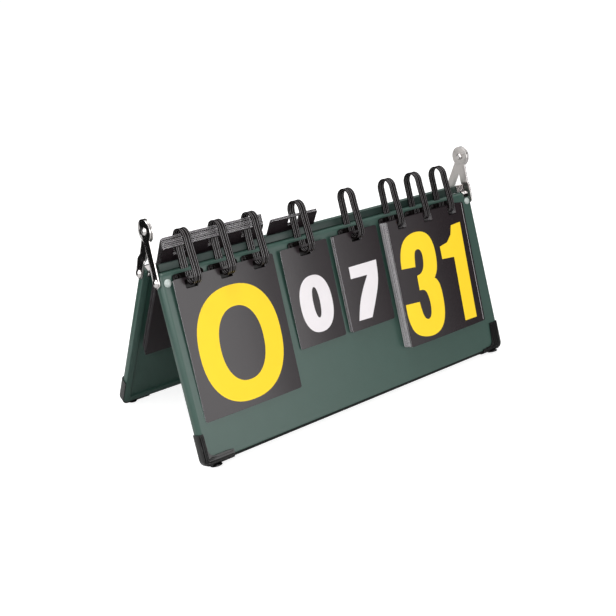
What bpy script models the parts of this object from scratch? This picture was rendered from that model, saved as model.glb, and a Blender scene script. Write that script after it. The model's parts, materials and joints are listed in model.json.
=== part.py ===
"""Tabletop flip scoreboard: two leaning panels, ring straps and four sets of numbered leaves.

Metres, +Z up, X along the width, the front is -Y. The origin is on the floor, under the middle.
Places on a panel are given as (x, h, d): x along the width, h up the panel's face from its lower edge,
and d out from the face, so a negative d is inside the panel or behind it.
"""
import math

import bmesh
import bpy
from mathutils import Matrix, Vector

for leftover in list(bpy.data.objects):
    bpy.data.objects.remove(leftover, do_unlink=True)

# Driving dimensions, in metres
WIDTH = 0.380                  # panel, left to right
HEIGHT = 0.172                 # panel, up its face
THICK = 0.009                  # panel, front to back
LEAN = math.radians(21.4)      # each panel, from the vertical
TOP_GAP = 0.0147               # between the panels' inner faces at the top
FACE_ROUND = 0.0042            # rounding round the outer face
CORNER_ROUND = 0.005           # the panel's four corners
RECESS = 0.002                 # depth of the tray in the inner face
RIM = 0.007                    # width of the tray's rim
REAR_SHORT = 0.0027            # rear panel, less high than the front one
RAIL_RISE = 0.0072             # ring rail above the panel
WIDE = 0.275 * WIDTH           # wide leaf, across
NARROW = 0.1432 * WIDTH        # narrow leaf, across
WIDE_DROP = 0.7355 * HEIGHT    # wide leaf, top edge to bottom edge
NARROW_DROP = 0.5448 * HEIGHT  # narrow leaf, top edge to bottom edge
LEAF_DOWN = 0.0085             # leaf's top edge below the panel's, where it hangs in front
LEAF_TILT = math.radians(1.5)  # leaves in front, towards the panel
LEAF_THICK = 0.00018
WIDE_PITCH = 0.00035           # from leaf to leaf in a wide set that hangs in front
NARROW_PITCH = 0.00046         # from leaf to leaf in a narrow set that hangs in front
PRESSED_PITCH = 0.00021        # from leaf to leaf where they lie between the panels
WIDE_COUNT = 32                # leaves 0 to 31
NARROW_COUNT = 8               # leaves 0 to 7
LEFT_MARGIN = 0.0263 * WIDTH   # panel's left end to the first leaf
SIDE_SPACE = 0.0213 * WIDTH    # between a wide leaf and a narrow one
MIDDLE_SPACE = 0.0153 * WIDTH  # between the two narrow leaves
RING_PITCH = 0.3378 * WIDE     # from ring to ring on a wide leaf
STRAP = 0.008                  # ring strap, across
STRAP_THICK = 0.0015
ARCH_RISE = 0.0237             # middle of the strap's arch above the panel
CURL_DOWN = 0.008              # middle of the strap's lower curl below the panel's top
ARM_LENGTH = 0.045             # hinge arm, screw to rivet
ARM_HEAD = 0.0103              # radius of an arm's round head
ARM_LEG = 0.010                # width of an arm's leg
ARM_THICK = 0.0015
FOOT_RADIUS = 0.0055

# Smaller, fixed sizes
GAP = 0.0003                   # clearance between neighbours
FOOT_THICK = 0.0012            # foot, a thin round pad under a protector
FOOT_FLAT = 0.0016             # worn flat on the foot's back edge, where it meets the floor
GUARD = 0.0009                 # protector beyond the panel's end and lower edge
LIP = 0.0012                   # protector in front of the panel's face
GUARD_UP = 0.0300              # protector's upright leg, from its lower edge
GUARD_ALONG = 0.0304           # protector's bottom leg, from its outer edge
LEFT_SIDE = 0.0052             # upright leg across, on a panel's left
LEFT_LOW = 0.0090              # bottom leg across, on a panel's left
RIGHT_SIDE = 0.0150            # upright leg across, on a panel's right
RIGHT_LOW = 0.0062             # bottom leg across, on a panel's right
GUARD_ROUND = 0.007            # protector's outer corner
GUARD_FILLET = 0.006           # protector's inner corner
SLOT = 0.0022                  # strap slot, across its narrow side
SCREW_IN = THICK / 2           # arm screw, behind the outer face
SCREW_DOWN = 0.0079            # arm screw, below the panel's top edge
SCREW_UP = HEIGHT - SCREW_DOWN
SCREW_DEEP = 0.0105            # arm screw, into the panel's end
SCREW_HEAD = 0.0038
SCREW_SHANK = 0.0018
RIVET_IN = 0.007               # corner rivet, from the panel's end
RIVET_DOWN = 0.010             # corner rivet, below the panel's top edge
RIVET_HEAD = 0.0036
RIVET_SHANK = 0.0015
RAIL_IN = 0.004                # ring rail's end, from the panel's end
PIN = 0.0015                   # radius of a rail pin
PIN_DEEP = 0.0075              # rail pin, into the panel
HOLE = 0.0125                  # leaf hole, across
HOLE_FROM = 0.0021             # leaf hole's upper edge below the leaf's top edge
HOLE_TO = 0.0100               # leaf hole's lower edge below the leaf's top edge
SIDES = 12                     # facets of a small round

SIN = math.sin(LEAN)
COS = math.cos(LEAN)
FOOTPRINT = HEIGHT * SIN + THICK * COS + TOP_GAP / 2
BASE = (GUARD + GAP + FOOT_THICK) * COS + (THICK / 2 + FOOT_RADIUS - FOOT_FLAT) * SIN

collection = bpy.data.collections.new("flip_scoreboard")
bpy.context.scene.collection.children.link(collection)
cutters = bpy.data.collections.new("cutters")
bpy.context.scene.collection.children.link(cutters)


# ---- Materials ----

def material(name, colour, roughness, metallic=0.0):
    made = bpy.data.materials.new(name)
    made.use_nodes = True
    shader = made.node_tree.nodes["Principled BSDF"]
    shader.inputs["Base Color"].default_value = (*colour, 1.0)
    shader.inputs["Roughness"].default_value = roughness
    shader.inputs["Metallic"].default_value = metallic
    return made


GREEN = material("green_paint", (0.09, 0.13, 0.115), 0.55)
BLACK = material("black_plastic", (0.012, 0.011, 0.012), 0.45)
LEAF = material("leaf_plastic", (0.045, 0.038, 0.042), 0.5)
CHROME = material("plated_steel", (0.55, 0.53, 0.52), 0.22, 1.0)


# ---- Places ----

def on_front(x, h, d):
    """World place of a point on the front panel."""
    return Vector((x, -FOOTPRINT + h * SIN - d * COS, BASE + h * COS + d * SIN))


def empty(name, place, turn):
    """A frame to hang pieces from; its origin is on the axis that its pieces turn about."""
    made = bpy.data.objects.new(name, None)
    made.location = place
    made.rotation_euler = turn
    made.empty_display_size = 0.02
    collection.objects.link(made)
    return made


SCREW_AT = on_front(0.0, SCREW_UP, -SCREW_IN)
RIVET_AT = Vector((0.0, 0.0, SCREW_AT.z + math.sqrt(ARM_LENGTH ** 2 - SCREW_AT.y ** 2)))
ARM_TURN = math.atan2(-SCREW_AT.y, RIVET_AT.z - SCREW_AT.z)

front_frame = empty("front_frame", SCREW_AT, (-LEAN, 0.0, 0.0))
rear_frame = empty("rear_frame", (0.0, -SCREW_AT.y, SCREW_AT.z), (-LEAN, 0.0, math.pi))


def local(x, h, d):
    """A place on a panel, in the frame whose origin is on the panel's arm screws."""
    return Vector((x, -d - SCREW_IN, h - SCREW_UP))


# ---- Shape helpers ----

def arc(centre, radius, start, end, steps):
    """Points along an arc; angles in degrees."""
    points = []
    for i in range(steps + 1):
        angle = math.radians(start + (end - start) * i / steps)
        points.append((centre[0] + radius * math.cos(angle), centre[1] + radius * math.sin(angle)))
    return points


def circle(centre, radius, steps=SIDES):
    return arc(centre, radius, 0.0, 360.0, steps)[:-1]


def rectangle(left, right, low, high):
    return [(left, low), (right, low), (right, high), (left, high)]


def rounded(left, right, low, high, radius, steps=4):
    points = arc((right - radius, low + radius), radius, -90, 0, steps)
    points += arc((right - radius, high - radius), radius, 0, 90, steps)
    points += arc((left + radius, high - radius), radius, 90, 180, steps)
    return points + arc((left + radius, low + radius), radius, 180, 270, steps)


def ribbon(path, thickness):
    """The outline of a strip that follows an open path in the plane."""
    left, right = [], []
    for i, here in enumerate(path):
        before = path[max(i - 1, 0)]
        after = path[min(i + 1, len(path) - 1)]
        run = Vector((after[0] - before[0], after[1] - before[1])).normalized()
        side = Vector((-run.y, run.x)) * thickness / 2
        left.append((here[0] + side.x, here[1] + side.y))
        right.append((here[0] - side.x, here[1] - side.y))
    return left + right[::-1]


def flat(loops, thickness, plane):
    """A mesh of a flat piece: the first loop is its rim, the others are holes.

    In plane "XZ" the outline's second coordinate is Z and the piece is centred on Y = 0; in plane "YZ"
    the outline's coordinates are Y and Z and the piece is centred on X = 0.
    """
    curve = bpy.data.curves.new("outline", "CURVE")
    curve.dimensions = "2D"
    curve.fill_mode = "BOTH"
    curve.extrude = thickness / 2
    for loop in loops:
        spline = curve.splines.new("POLY")
        spline.points.add(len(loop) - 1)
        for point, (u, v) in zip(spline.points, loop):
            point.co = (u, v, 0.0, 1.0)
        spline.use_cyclic_u = True
    holder = bpy.data.objects.new("outline", curve)
    collection.objects.link(holder)
    bpy.context.view_layer.update()
    evaluated = holder.evaluated_get(bpy.context.evaluated_depsgraph_get())
    mesh = bpy.data.meshes.new_from_object(evaluated)
    bpy.data.objects.remove(holder, do_unlink=True)
    bpy.data.curves.remove(curve)
    if plane == "XZ":
        turn = Matrix.Rotation(math.radians(90), 4, "X")
    else:
        turn = Matrix(((0, 0, 1, 0), (1, 0, 0, 0), (0, 1, 0, 0), (0, 0, 0, 1)))
    mesh.transform(turn)
    weld(mesh)
    return mesh


def weld(mesh):
    shape = bmesh.new()
    shape.from_mesh(mesh)
    bmesh.ops.remove_doubles(shape, verts=shape.verts, dist=1e-6)
    bmesh.ops.recalc_face_normals(shape, faces=shape.faces)
    shape.to_mesh(mesh)
    shape.free()


def box(low, high):
    """A mesh of a box between two corners."""
    shape = bmesh.new()
    bmesh.ops.create_cube(shape, size=1.0)
    low, high = Vector(low), Vector(high)
    for vertex in shape.verts:
        vertex.co = Vector(((low + high)[i] / 2 + vertex.co[i] * (high - low)[i] for i in range(3)))
    mesh = bpy.data.meshes.new("box")
    shape.to_mesh(mesh)
    shape.free()
    return mesh


def rod(radius, start, end, axis, steps=SIDES):
    """A mesh of a cylinder along X, Y or Z, from start to end on that axis."""
    shape = bmesh.new()
    bmesh.ops.create_cone(shape, cap_ends=True, segments=steps, radius1=radius, radius2=radius,
                          depth=abs(end - start))
    mesh = bpy.data.meshes.new("rod")
    shape.to_mesh(mesh)
    shape.free()
    mesh.transform(Matrix.Translation((0, 0, (start + end) / 2)))
    if axis == "X":
        mesh.transform(Matrix.Rotation(math.radians(90), 4, "Y"))
    if axis == "Y":
        mesh.transform(Matrix.Rotation(math.radians(-90), 4, "X"))
    return mesh


def turned(profile, steps=SIDES):
    """A mesh turned about Z from (radius, z) points that run down the outer side."""
    mesh = bpy.data.meshes.new("profile")
    edges = [(i, i + 1) for i in range(len(profile) - 1)]
    mesh.from_pydata([(r, 0.0, z) for r, z in profile], edges, [])
    holder = bpy.data.objects.new("profile", mesh)
    collection.objects.link(holder)
    spin = holder.modifiers.new("spin", "SCREW")
    spin.steps = spin.render_steps = steps
    spin.use_merge_vertices = True
    spin.merge_threshold = 1e-6
    bpy.context.view_layer.update()
    evaluated = holder.evaluated_get(bpy.context.evaluated_depsgraph_get())
    made = bpy.data.meshes.new_from_object(evaluated)
    bpy.data.objects.remove(holder, do_unlink=True)
    weld(made)
    return made


def joined(pieces):
    """One mesh from (mesh, matrix) pairs, which stay separate bodies in it."""
    shape = bmesh.new()
    for mesh, matrix in pieces:
        copy = mesh.copy()
        copy.transform(matrix)
        if matrix.determinant() < 0:
            copy.flip_normals()
        shape.from_mesh(copy)
        bpy.data.meshes.remove(copy)
    made = bpy.data.meshes.new("joined")
    shape.to_mesh(made)
    shape.free()
    return made


def shift(place):
    return Matrix.Translation(Vector(place))


def piece(name, mesh, parent, paint, place=(0.0, 0.0, 0.0), turn=(0.0, 0.0, 0.0)):
    """A named piece of the scoreboard, hung from its frame."""
    mesh.name = name
    made = bpy.data.objects.new(name, mesh)
    made.parent = parent
    made.location = place
    made.rotation_euler = turn
    own = paint.copy()
    own.name = name + "_" + paint.name
    mesh.materials.clear()
    mesh.materials.append(own)
    mesh.shade_smooth()
    mesh.set_sharp_from_angle(angle=math.radians(35))
    collection.objects.link(made)
    return made


def combine(target, mesh, name, operation, frame=None):
    """Cut a mesh out of the target or join it on; the mesh is in the target's frame or in another."""
    tool = bpy.data.objects.new(name, mesh)
    tool.parent = frame or target
    tool.hide_render = True
    tool.display_type = "WIRE"
    cutters.objects.link(tool)
    step = target.modifiers.new(name, "BOOLEAN")
    step.operation = operation
    step.solver = "EXACT"
    step.object = tool


def cut(target, mesh, name, frame=None):
    combine(target, mesh, name, "DIFFERENCE", frame)


def join(target, mesh, name):
    combine(target, mesh, name, "UNION")


# ---- Where the leaves and rings are ----

def leaf_sets():
    """Centre, half width and rings of the four sets of leaves, left to right."""
    left = -WIDTH / 2 + LEFT_MARGIN
    spans = []
    for across, space in ((WIDE, SIDE_SPACE), (NARROW, MIDDLE_SPACE), (NARROW, SIDE_SPACE), (WIDE, 0.0)):
        spans.append((left + across / 2, across / 2))
        left += across + space
    names = ("left", "small_left", "small_right", "right")
    sets = {}
    for name, (centre, half) in zip(names, spans):
        wide = name in ("left", "right")
        rings = [centre - RING_PITCH, centre, centre + RING_PITCH] if wide else [centre]
        sets[name] = {"centre": centre, "half": half, "rings": rings,
                      "drop": WIDE_DROP if wide else NARROW_DROP,
                      "count": WIDE_COUNT if wide else NARROW_COUNT,
                      "pitch": WIDE_PITCH if wide else NARROW_PITCH}
    return sets


SETS = leaf_sets()
RINGS = [x for each in SETS.values() for x in each["rings"]]

# The strap's loop, seen from the end: d across, h up
BACK_LEG = -0.0022             # strap's back leg, in the slot behind the face
FRONT_LEG = 0.0152             # strap's front leg where the arch starts
CURL_FRONT = 0.0173            # strap's front leg where the lower curl starts
CURL_BACK = 0.0027             # strap's front tail, on the base plate
ARCH_UP = HEIGHT + ARCH_RISE
CURL_UP = HEIGHT - CURL_DOWN
CURL_AT = ((CURL_FRONT + CURL_BACK) / 2, CURL_UP)
CURL_ROUND = (CURL_FRONT - CURL_BACK) / 2
ARCH_AT = ((BACK_LEG + FRONT_LEG) / 2, ARCH_UP)
ARCH_ROUND = (FRONT_LEG - BACK_LEG) / 2
SLOT_DEPTH = 0.012
TAIL_UP = HEIGHT - SLOT_DEPTH + 2 * GAP
BASE_TOP = HEIGHT - CURL_DOWN / 2
BASE_HIGH = 0.0165             # ring base plate, up the face
BASE_LOW = BASE_TOP - BASE_HIGH
BASE_ACROSS = 0.87 * RING_PITCH
BASE_ROUND = 0.003
BASE_FRONT = CURL_BACK - STRAP_THICK / 2 - GAP
FIRST_LEAF = CURL_BACK + STRAP_THICK / 2 + 3 * GAP


# ---- Panels ----

def slab(grow, back, height=HEIGHT):
    """A slab with rounded corners and a rounded outer face, in the panel's own frame."""
    low = local(-WIDTH / 2 - grow, -grow, grow)
    high = local(WIDTH / 2 + grow, height + grow, back)
    mesh = box(low, high)
    shape = bmesh.new()
    shape.from_mesh(mesh)
    through = [e for e in shape.edges if abs(e.verts[0].co.y - e.verts[1].co.y) > THICK / 2]
    bmesh.ops.bevel(shape, geom=through, offset=CORNER_ROUND + grow, segments=4, profile=0.5, affect="EDGES")
    outer = [e for e in shape.edges if all(abs(v.co.y - low.y) < 1e-6 for v in e.verts)]
    bmesh.ops.bevel(shape, geom=outer, offset=FACE_ROUND + grow, segments=4, profile=0.5, affect="EDGES")
    shape.to_mesh(mesh)
    shape.free()
    return mesh


def panel_cuts(front, height):
    """The tray in the inner face, the screw holes, and on the front panel the slots and rail pins."""
    tray_low = local(-WIDTH / 2 + RIM, RIM, -THICK + RECESS)
    tray_high = local(WIDTH / 2 - RIM, height - RIM - RECESS, -THICK - RECESS)
    cuts = [(box(tray_low, tray_high), Matrix())]
    for side in (-1, 1):
        hole = rod(SCREW_SHANK + GAP, WIDTH / 2 - SCREW_DEEP - 4 * GAP, WIDTH / 2 + RECESS, "X")
        cuts.append((hole, Matrix.Scale(side, 4, (1, 0, 0))))
    if front:
        for x in RINGS:
            low = local(x - STRAP / 2 - GAP, HEIGHT - SLOT_DEPTH, BACK_LEG + SLOT / 2)
            high = local(x + STRAP / 2 + GAP, HEIGHT + RECESS, BACK_LEG - SLOT / 2)
            cuts.append((box(low, high), Matrix()))
            for way in (-1, 1):
                hole = rod(BASE_SHANK + GAP, -RECESS, BASE_SHANK_DEEP + GAP, "Y", 8)
                cuts.append((hole, shift(local(x + way * BASE_SCREW, BASE_SCREW_UP, 0.0))))
        for x in PINS:
            hole = rod(PIN + GAP, -PIN_DEEP - 2 * GAP, RECESS, "Z", 8)
            cuts.append((hole, shift(local(x, HEIGHT, RAIL_MIDDLE))))
        for side in (-1, 1):
            hole = rod(RIVET_SHANK + GAP, -RECESS, RECESS + GAP / 3, "Y", 8)
            cuts.append((hole, shift(local(side * (WIDTH / 2 - RIVET_IN), HEIGHT - RIVET_DOWN, 0.0))))
    return joined(cuts)


BASE_SCREW = 0.36 * BASE_ACROSS
BASE_SCREW_UP = BASE_TOP - 0.0028
BASE_HEAD = 0.0026
BASE_SHANK = 0.0012
BASE_SHANK_DEEP = 0.0052
RAIL_FRONT = BACK_LEG - STRAP_THICK / 2 - GAP
RAIL_MIDDLE = (RAIL_FRONT - THICK) / 2
PINS = [RINGS[0], RINGS[2], (RINGS[3] + RINGS[4]) / 2, RINGS[5], RINGS[7]]

for name, frame, height in (("front_panel", front_frame, HEIGHT),
                            ("rear_panel", rear_frame, HEIGHT - REAR_SHORT)):
    panel = piece(name, slab(0.0, -THICK, height), frame, GREEN)
    cut(panel, panel_cuts(name == "front_panel", height), name + "_cuts")

# The ring rail on the front panel's top edge, with the pins that plug into the panel
rail_low = local(-WIDTH / 2 + RAIL_IN, HEIGHT + GAP, RAIL_FRONT)
rail_high = local(WIDTH / 2 - RAIL_IN, HEIGHT + RAIL_RISE, -THICK)
rail = piece("ring_rail", box(rail_low, rail_high), front_frame, GREEN)
pins = [(rod(PIN, -PIN_DEEP, RAIL_RISE / 2, "Z", 8), shift(local(x, HEIGHT, RAIL_MIDDLE))) for x in PINS]
join(rail, joined(pins), "ring_rail_pins")

# Two painted rivets near the front panel's top corners
RIVET_RISE = 0.0020
rivet = turned([(0.0, RIVET_RISE), (RIVET_HEAD * 0.6, RIVET_RISE * 0.8), (RIVET_HEAD, GAP),
                (RIVET_SHANK, GAP), (RIVET_SHANK, -RECESS * 0.9), (0.0, -RECESS * 0.9)])
outward = Matrix.Rotation(math.radians(90), 4, "X")
for way, side in ((-1, "left"), (1, "right")):
    place = local(way * (WIDTH / 2 - RIVET_IN), HEIGHT - RIVET_DOWN, 0.0)
    piece("corner_rivet_" + side, joined([(rivet, outward)]), front_frame, GREEN, place)


# ---- Ring straps, their base plates and screws ----

def strap_path():
    """The strap's centre line: up from its slot, over the arch, down the front and round the curl."""
    path = [(BACK_LEG, TAIL_UP)]
    path += arc(ARCH_AT, ARCH_ROUND, 180, 0, 12)
    path += arc(CURL_AT, CURL_ROUND, 0, -180, 12)
    path.append((CURL_BACK, BASE_TOP))
    return path


def strap_mesh():
    outline = ribbon(strap_path(), STRAP_THICK)
    origin = local(0.0, 0.0, 0.0)
    return flat([[(origin.y - d, origin.z + h) for d, h in outline]], STRAP, "YZ")


def base_screws():
    """The two screws of a base plate, in the plate's own frame; their heads sink a little into it."""
    rise = STRAP_THICK
    sunk = GAP * 2 / 3
    tip = sunk - BASE_FRONT - BASE_SHANK_DEEP
    profile = [(0.0, rise), (BASE_HEAD * 0.7, rise * 0.8), (BASE_HEAD, -sunk), (BASE_SHANK, -sunk),
               (BASE_SHANK, tip), (0.0, tip)]
    screw = turned(profile, 10)
    front = -(BASE_FRONT - GAP) / 2
    up = BASE_SCREW_UP - BASE_TOP
    return joined([(screw, shift((way * BASE_SCREW, front, up)) @ outward) for way in (-1, 1)])


for number, x in enumerate(RINGS, 1):
    piece("ring_%d" % number, strap_mesh(), front_frame, BLACK, (x, 0.0, 0.0))
    rim = rounded(-BASE_ACROSS / 2, BASE_ACROSS / 2, -BASE_HIGH, 0.0, BASE_ROUND, 3)
    place = local(x, BASE_TOP, (BASE_FRONT + GAP) / 2)
    base = piece("ring_base_%d" % number, flat([rim], BASE_FRONT - GAP, "XZ"), front_frame, BLACK, place)
    join(base, base_screws(), "ring_base_%d_screws" % number)


# ---- Corner protectors and feet ----

def guard_mesh(across, low):
    """The protector's L, with the edges round its front rounded off; its upright narrows upwards."""
    inner = [(GUARD_ALONG, low - GUARD), (GUARD_ALONG - GUARD_FILLET, low)]
    inner += arc((across + GUARD_FILLET, low + GUARD_FILLET), GUARD_FILLET, -90, -180, 5)
    inner.append((0.9 * across, GUARD_UP))
    outer = [(GUARD_ALONG, 0.0)] + arc((GUARD_ROUND, GUARD_ROUND), GUARD_ROUND, -90, -180, 5) + [(0.0, GUARD_UP)]
    mesh = flat([outer + inner[::-1]], THICK + LIP, "XZ")
    shape = bmesh.new()
    shape.from_mesh(mesh)
    bmesh.ops.dissolve_limit(shape, angle_limit=0.001, verts=[], edges=shape.edges)
    front = -(THICK + LIP) / 2
    rim = []
    for edge in shape.edges:
        in_front = all(abs(v.co.y - front) < 1e-6 for v in edge.verts)
        if in_front and all(min(v.co.x, v.co.z) < GUARD_ROUND / 2 for v in edge.verts):
            rim.append(edge)
    bmesh.ops.bevel(shape, geom=rim, offset=FACE_ROUND, segments=3, profile=0.5, affect="EDGES")
    shape.to_mesh(mesh)
    shape.free()
    return mesh


FOOT_IN = 0.012                # foot's middle, from the panel's end


def foot_mesh(frame_turn):
    """A round pad under a protector, with a small flat at its back edge where it meets the floor."""
    top = -GUARD - GAP
    mesh = rod(FOOT_RADIUS, top - FOOT_THICK, top, "Z", 16)
    shape = bmesh.new()
    shape.from_mesh(mesh)
    floor_normal = frame_turn.inverted() @ Vector((0.0, 0.0, 1.0))
    below = BASE - (THICK / 2) * SIN
    cap = bmesh.ops.bisect_plane(shape, geom=shape.verts[:] + shape.edges[:] + shape.faces[:],
                                 plane_co=-floor_normal * below, plane_no=-floor_normal, clear_outer=True)
    rim = [item for item in cap["geom_cut"] if isinstance(item, bmesh.types.BMEdge)]
    bmesh.ops.contextual_create(shape, geom=rim)
    bmesh.ops.recalc_face_normals(shape, faces=shape.faces)
    shape.to_mesh(mesh)
    shape.free()
    return mesh


lean_only = Matrix.Rotation(-LEAN, 3, "X")
for end, frame in (("front", front_frame), ("rear", rear_frame)):
    # Each frame looks at its own panel, so the rear frame's -X is the scoreboard's right end
    for way, side in ((1, "left" if end == "front" else "right"), (-1, "right" if end == "front" else "left")):
        label = "%s_%s" % (end, side)
        corner = local(-way * (WIDTH / 2 + GUARD), -GUARD, (LIP - THICK) / 2)
        mirror = Matrix.Scale(way, 4, (1, 0, 0))
        legs = guard_mesh(LEFT_SIDE, LEFT_LOW) if way == 1 else guard_mesh(RIGHT_SIDE, RIGHT_LOW)
        guard = piece("protector_" + label, joined([(legs, mirror)]), frame, BLACK, corner)
        cut(guard, slab(GAP, -THICK - RECESS), "protector_%s_pocket" % label, frame)
        stand = local(-way * (WIDTH / 2 - FOOT_IN), 0.0, -THICK / 2)
        piece("foot_" + label, foot_mesh(lean_only), frame, BLACK, stand)


# ---- Hinge arms, their screws and rivets ----

OUTER_PLANE = WIDTH / 2 + GAP + ARM_THICK / 2
INNER_PLANE = OUTER_PLANE - ARM_THICK - GAP * 4 / 3
JOGGLE_FROM = 0.29 * ARM_LENGTH
JOGGLE_TO = 0.40 * ARM_LENGTH
PIVOT = 0.0020
PIVOT_HEAD = 0.0035


def arm_mesh(joggled):
    """A keyhole-shaped plate: its screw hole at the origin, its rivet hole up the Z axis."""
    half = ARM_LEG / 2
    neck = math.degrees(math.asin(half / ARM_HEAD))
    outline = arc((0.0, 0.0), half, 180, 360, 8)
    outline += arc((0.0, ARM_LENGTH), ARM_HEAD, -90 + neck, 270 - neck, 24)
    holes = [circle((0.0, 0.0), SCREW_SHANK + GAP), circle((0.0, ARM_LENGTH), PIVOT + GAP)]
    mesh = flat([outline] + holes, ARM_THICK, "YZ")
    if joggled:
        shape = bmesh.new()
        shape.from_mesh(mesh)
        for height in (JOGGLE_FROM, JOGGLE_TO):
            everything = shape.verts[:] + shape.edges[:] + shape.faces[:]
            bmesh.ops.bisect_plane(shape, geom=everything, plane_co=(0, 0, height), plane_no=(0, 0, 1))
        for vertex in shape.verts:
            if vertex.co.z > JOGGLE_TO - 1e-6:
                vertex.co.x += INNER_PLANE - OUTER_PLANE
        bmesh.ops.triangulate(shape, faces=shape.faces)
        shape.to_mesh(mesh)
        shape.free()
    return mesh


arm_frames = {
    "front": empty("front_arm_frame", SCREW_AT, (-ARM_TURN, 0.0, 0.0)),
    "rear": empty("rear_arm_frame", (0.0, -SCREW_AT.y, SCREW_AT.z), (-ARM_TURN, 0.0, math.pi)),
}
for end in ("front", "rear"):
    # Each frame looks at its own panel, so the rear frame's -X is the scoreboard's right end
    for way, side in ((-1, "left" if end == "front" else "right"), (1, "right" if end == "front" else "left")):
        joggled = way == 1
        mesh = joined([(arm_mesh(joggled), Matrix.Scale(way, 4, (1, 0, 0)))])
        piece("%s_arm_%s" % (end, side), mesh, arm_frames[end], CHROME, (way * OUTER_PLANE, 0.0, 0.0))

outside = OUTER_PLANE + ARM_THICK / 2 + GAP
HEAD_RISE = 0.0019
shank_end = -ARM_THICK - 2 * GAP - SCREW_DEEP
arm_screw = turned([(0.0, HEAD_RISE), (SCREW_HEAD * 0.63, HEAD_RISE * 0.84), (SCREW_HEAD, 0.0),
                    (SCREW_SHANK, 0.0), (SCREW_SHANK, shank_end), (0.0, shank_end)])
for end, frame in (("front", front_frame), ("rear", rear_frame)):
    for way, side in ((-1, "left" if end == "front" else "right"), (1, "right" if end == "front" else "left")):
        turn = Matrix.Rotation(math.radians(90 * way), 4, "Y")
        name = "%s_arm_screw_%s" % (end, side)
        piece(name, joined([(arm_screw, turn)]), frame, CHROME, (way * outside, 0.0, 0.0))

stack = 2 * ARM_THICK + GAP * 10 / 3
PIVOT_RISE = 0.0016
PIVOT_BACK = 0.0013
pivot = turned([(0.0, PIVOT_RISE), (PIVOT_HEAD * 0.63, PIVOT_RISE * 0.8), (PIVOT_HEAD, 0.0), (PIVOT, 0.0),
                (PIVOT, -stack), (PIVOT_HEAD * 0.94, -stack), (PIVOT_HEAD * 0.74, -stack - PIVOT_BACK * 0.85),
                (0.0, -stack - PIVOT_BACK)], 16)
rivet_frame = empty("rivet_frame", RIVET_AT, (0.0, 0.0, 0.0))
for way, side in ((-1, "left"), (1, "right")):
    turn = Matrix.Rotation(math.radians(90 * way), 4, "Y")
    mesh = joined([(pivot, turn)])
    piece("pivot_rivet_" + side, mesh, rivet_frame, CHROME, (way * outside, 0.0, 0.0))


# ---- Leaves ----

leaf_frame = empty("leaf_frame", on_front(0.0, CURL_AT[1], CURL_AT[0]), (LEAF_TILT - LEAN, 0.0, 0.0))


def hung_leaves(name, group, first, count):
    """Leaves that hang in front of the panel, closed up into one block, with the holes for the rings.

    They are numbered from the one next to the panel.
    """
    half = group["half"]
    loops = [rectangle(-half, half, -group["drop"], 0.0)]
    for x in group["rings"]:
        middle = x - group["centre"]
        loops.append(rectangle(middle - HOLE / 2, middle + HOLE / 2, -HOLE_TO, -HOLE_FROM))
    back = FIRST_LEAF + group["pitch"] * first - LEAF_THICK / 2
    front = FIRST_LEAF + group["pitch"] * (first + count - 1) + LEAF_THICK / 2
    mesh = flat(loops, front - back, "XZ")
    place = (group["centre"], CURL_AT[0] - (back + front) / 2, HEIGHT - LEAF_DOWN - CURL_AT[1])
    piece(name, mesh, leaf_frame, LEAF, place)


hung_leaves("left_front_leaf", SETS["left"], 0, 1)
hung_leaves("small_left_front_leaf", SETS["small_left"], 0, 1)
hung_leaves("small_right_leaves", SETS["small_right"], 0, NARROW_COUNT - 1)
hung_leaves("small_right_front_leaf", SETS["small_right"], NARROW_COUNT - 1, 1)
hung_leaves("right_leaves", SETS["right"], 0, WIDE_COUNT - 1)
hung_leaves("right_front_leaf", SETS["right"], WIDE_COUNT - 1, 1)

# Flipped leaves lie along the rear panel and bend at the ring rail's back edge
BEND_OFF = 0.0005
BEND_H = HEIGHT + RAIL_RISE + BEND_OFF * math.sin(2 * LEAN)
BEND_D = -THICK - BEND_OFF * math.cos(2 * LEAN)
FLIPPED_EDGE = 0.0011          # plane of the flipped leaves' top edges, in front of the face
flipped_frame = empty("flipped_frame", on_front(0.0, BEND_H, BEND_D), (LEAN, 0.0, 0.0))


def flipped_leaves(name, group, count):
    """Upper halves threaded on the rings, and lower halves that hang between the panels.

    All the top edges lie in one plane, so each leaf starts a little higher than the one before it.
    """
    deep = PRESSED_PITCH * count
    top_in = (FLIPPED_EDGE - BEND_D) / math.sin(2 * LEAN)
    top_out = top_in + deep / math.tan(2 * LEAN)
    drop = group["drop"]
    upper = [(0.0, GAP / 2), (deep, GAP / 2), (deep, top_out), (0.0, top_in)]
    lower = [(0.0, top_in - drop), (deep, top_out - drop), (deep, -GAP / 2), (0.0, -GAP / 2)]
    place = (group["centre"], 0.0, 0.0)
    top = piece(name + "_upper", flat([upper], 2 * group["half"], "YZ"), flipped_frame, LEAF, place)
    piece(name + "_lower", flat([lower], 2 * group["half"], "YZ"), flipped_frame, LEAF, place)
    holes = []
    for x in group["rings"]:
        low = local(x - HOLE / 2, HEIGHT, FLIPPED_EDGE - 2 * GAP)
        high = local(x + HOLE / 2, HEIGHT + 2 * ARCH_RISE, FLIPPED_EDGE - HOLE_TO * math.sin(2 * LEAN))
        holes.append((box(low, high), Matrix()))
    cut(top, joined(holes), name + "_holes", front_frame)


flipped_leaves("left_flipped", SETS["left"], WIDE_COUNT - 1)
flipped_leaves("small_left_flipped", SETS["small_left"], NARROW_COUNT - 1)

bpy.context.view_layer.update()
total = 0
graph = bpy.context.evaluated_depsgraph_get()
for made in collection.objects:
    if made.type == "MESH":
        shape = made.evaluated_get(graph).to_mesh()
        shape.calc_loop_triangles()
        total += len(shape.loop_triangles)
print("pieces:", sum(o.type == "MESH" for o in collection.objects), "triangles:", total)
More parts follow.
